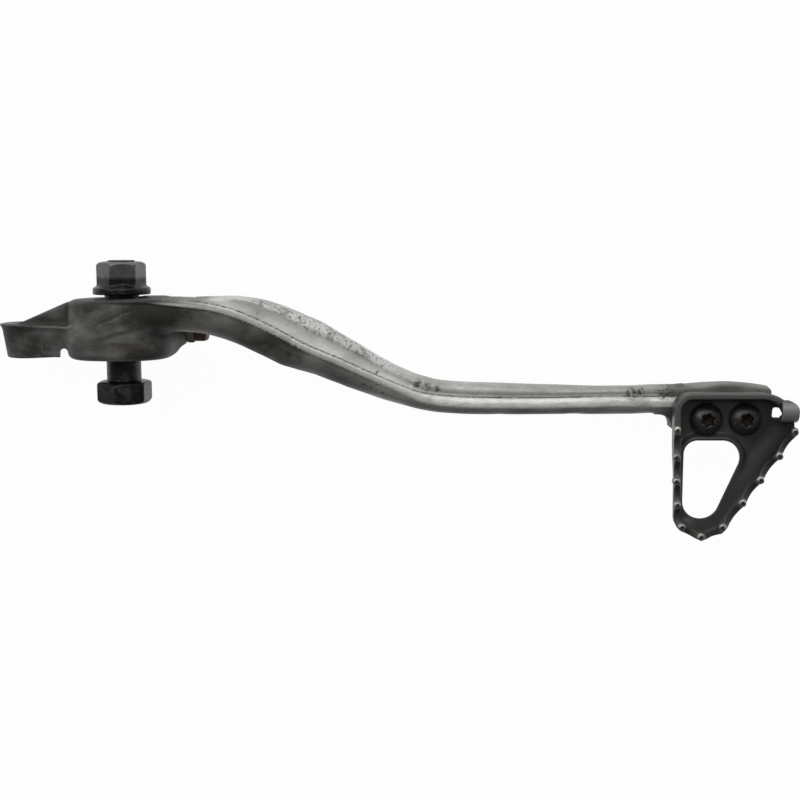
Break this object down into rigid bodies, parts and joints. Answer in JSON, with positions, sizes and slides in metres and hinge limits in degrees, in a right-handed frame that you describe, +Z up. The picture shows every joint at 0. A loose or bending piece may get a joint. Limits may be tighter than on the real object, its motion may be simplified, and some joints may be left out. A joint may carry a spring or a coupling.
{
  "type": "rear brake pedal",
  "caption": "Forged aluminium foot lever that turns on a shoulder bolt, with a push rod eye behind the pivot and a toothed sheet steel step plate screwed to its tip.",
  "frame": {"origin": "on the pivot axis, at the hub's face that runs against the frame lug", "axes": "+X from the pivot to the tip of the lever, +Y along the pivot from the frame lug towards the nut, +Z up as the pedal lies on its hub and tip"},
  "size_m": [0.2837, 0.0991, 0.038],
  "materials": {
    "forged_aluminium": "worn matt forging, dirty",
    "stamped_steel": "dark coating, worn at the teeth",
    "black_steel": "black oxide with light rust",
    "stop_steel": "dark, rusty",
    "bush_bronze": "satin",
    "seal_rubber": "matt"
  },
  "bodies": {
    "pivot": {"pivot_bolt": "black_steel", "pivot_nut": "black_steel"},
    "pedal": {"pedal_arm": "forged_aluminium", "bush_lug_side": "bush_bronze", "bush_nut_side": "bush_bronze", "seal_lug_side": "seal_rubber", "seal_nut_side": "seal_rubber", "step_plate": "stamped_steel", "plate_screw_rear": "black_steel", "plate_screw_front": "black_steel", "stop_screw": "stop_steel", "stop_lock_nut": "stop_steel"}
  },
  "joints": [
    {"name": "pedal_pivot", "type": "hinge", "parent": "pivot", "child": "pedal", "pos_m": [0, 0, 0], "axis": [0, 1, 0], "range_deg": [-5, 20]}
  ]
}
